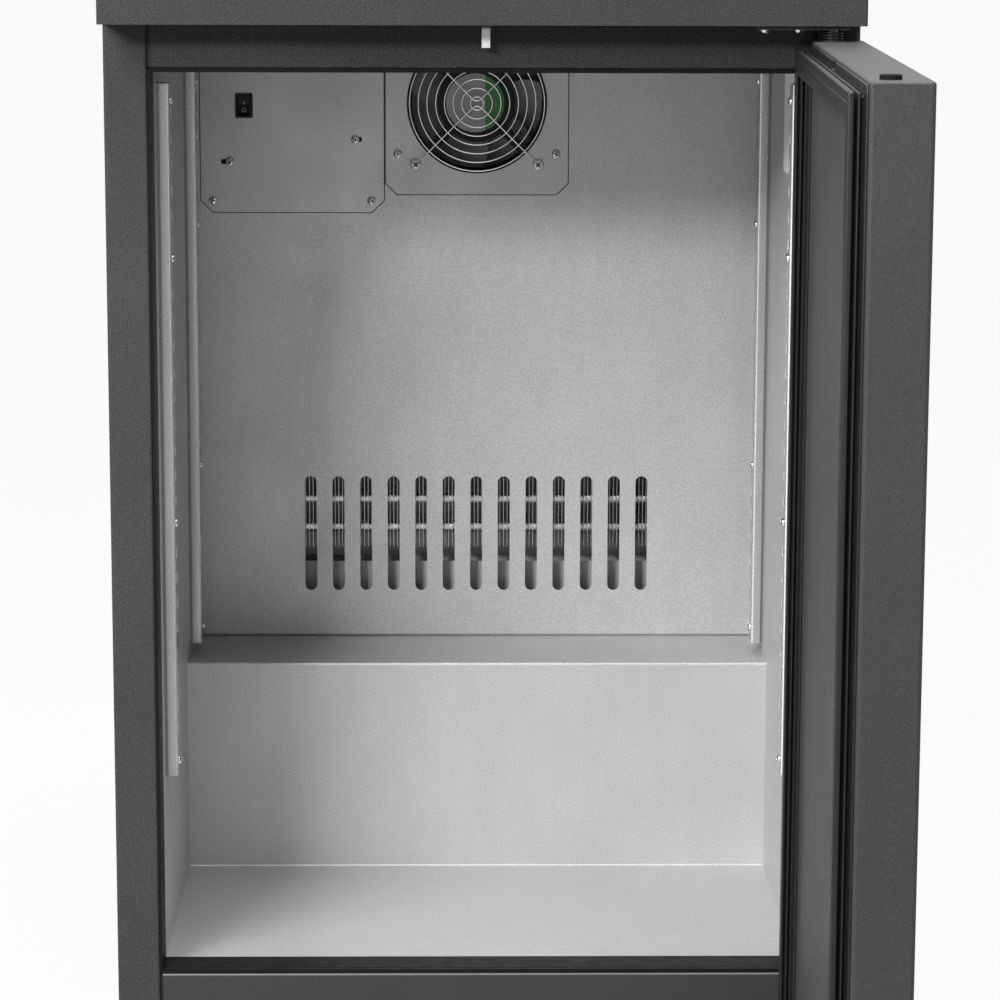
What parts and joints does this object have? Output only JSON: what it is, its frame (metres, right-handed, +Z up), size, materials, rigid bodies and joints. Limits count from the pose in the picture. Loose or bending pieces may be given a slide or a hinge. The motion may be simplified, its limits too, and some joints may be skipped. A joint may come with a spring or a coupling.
{
  "type": "back bar cooler",
  "caption": "Single-door undercounter back bar cooler with an overhanging top, a lined keg space, a guarded fan, slotted pilasters and a swinging gasketed door.",
  "frame": {"origin": "middle of the base pan's underside", "axes": "+X to the right seen from the front, +Y to the back, +Z up"},
  "size_m": [0.5618, 1.041, 0.85],
  "materials": {
    "shell_coat": "charcoal powder coat with a fine texture",
    "door_liner_paint": "smooth satin charcoal coat",
    "liner_metal": "satin silver grey",
    "galvanised_steel": "galvanised, dull",
    "bright_steel": "satin zinc",
    "screw_steel": "bright plated",
    "chrome_wire": "polished chrome wire",
    "fin_aluminium": "mill",
    "compressor_paint": "gloss black",
    "copper": "drawn copper tube",
    "black_gloss_plastic": "glossy black extrusion",
    "black_plastic": "moulded, satin",
    "white_plastic": "moulded, smooth",
    "light_plastic": "moulded",
    "black_rubber": "flexible extrusion with a soft shine",
    "insulation_foam": "rigid polyurethane foam"
  },
  "bodies": {
    "cabinet": {"side_panel_left": "shell_coat", "side_panel_right": "shell_coat", "top_cover": "shell_coat", "top_rail": "shell_coat", "bottom_rail": "shell_coat", "base_pan": "galvanised_steel", "rear_panel": "galvanised_steel", "rear_grille": "shell_coat", "bay_bulkhead": "galvanised_steel", "cabinet_foam": "insulation_foam", "liner_wrapper": "liner_metal", "liner_side_left": "liner_metal", "liner_side_right": "liner_metal", "breaker_frame": "black_gloss_plastic", "evaporator_cover": "liner_metal", "evaporator_coil": "fin_aluminium", "drip_tray": "light_plastic", "drain_tube": "light_plastic", "pilaster_front_left": "bright_steel", "pilaster_front_right": "bright_steel", "pilaster_rear_left": "bright_steel", "pilaster_rear_right": "bright_steel", "pilaster_screws": "screw_steel", "switch_panel": "liner_metal", "panel_screws": "screw_steel", "rocker_bezel": "black_plastic", "fan_plate": "liner_metal", "fan_frame": "black_plastic", "fan_guard": "chrome_wire", "guard_screws": "screw_steel", "door_switch_bracket": "black_plastic", "upper_hinge_plate": "shell_coat", "lower_hinge_plate": "shell_coat", "hinge_screws": "screw_steel", "hinge_pins": "screw_steel", "hinge_spring": "screw_steel", "compressor": "compressor_paint", "compressor_terminal_box": "black_plastic", "compressor_mounts": "black_rubber", "condenser_coil": "fin_aluminium", "condenser_fan_shroud": "galvanised_steel", "filter_drier": "copper", "suction_line": "copper", "liquid_line": "copper", "discharge_line": "copper", "cord_gland": "black_plastic"},
    "door": {"door_skin": "shell_coat", "door_foam": "insulation_foam", "door_liner": "door_liner_paint", "door_gasket": "black_rubber", "hinge_bushes": "black_plastic", "door_plugs": "black_plastic"},
    "switch_lever": {"door_switch_lever": "white_plastic"},
    "rocker": {"rocker_key": "black_plastic"},
    "evaporator_fan": {"fan_impeller": "black_plastic"},
    "condenser_fan": {"condenser_fan_impeller": "fin_aluminium"},
    "foot_1": {"foot_front_left": "black_plastic"},
    "foot_2": {"foot_front_right": "black_plastic"},
    "foot_3": {"foot_rear_left": "black_plastic"},
    "foot_4": {"foot_rear_right": "black_plastic"}
  },
  "joints": [
    {"name": "door_hinge", "type": "hinge", "parent": "cabinet", "child": "door", "pos_m": [0.256, -0.2645, 0], "axis": [0, 0, 1], "range_deg": [-87.5, 12], "deforming": ["door_gasket"]},
    {"name": "door_switch_tilt", "type": "hinge", "parent": "cabinet", "child": "switch_lever", "pos_m": [0.0027, -0.2477, 0.7857], "axis": [1, 0, 0], "range_deg": [0, 8], "stiffness_Nm_per_rad": 0.02, "springref_deg": -11.46},
    {"name": "rocker_switch", "type": "hinge", "parent": "cabinet", "child": "rocker", "pos_m": [-0.19885, 0.1585, 0.70495], "axis": [1, 0, 0], "range_deg": [0, 20]},
    {"name": "evaporator_fan_spin", "type": "hinge", "parent": "cabinet", "child": "evaporator_fan", "pos_m": [0, 0.18, 0.7075], "axis": [0, 1, 0], "continuous": true},
    {"name": "condenser_fan_spin", "type": "hinge", "parent": "cabinet", "child": "condenser_fan", "pos_m": [0.066, 0.16, 0.0935], "axis": [1, 0, 0], "continuous": true},
    {"name": "levelling_front_left", "type": "hinge", "parent": "cabinet", "child": "foot_1", "pos_m": [-0.235, -0.188, 0], "axis": [0, 0, 1], "continuous": true},
    {"name": "levelling_front_right", "type": "hinge", "parent": "cabinet", "child": "foot_2", "pos_m": [0.235, -0.188, 0], "axis": [0, 0, 1], "continuous": true},
    {"name": "levelling_rear_left", "type": "hinge", "parent": "cabinet", "child": "foot_3", "pos_m": [-0.235, 0.188, 0], "axis": [0, 0, 1], "continuous": true},
    {"name": "levelling_rear_right", "type": "hinge", "parent": "cabinet", "child": "foot_4", "pos_m": [0.235, 0.188, 0], "axis": [0, 0, 1], "continuous": true}
  ]
}
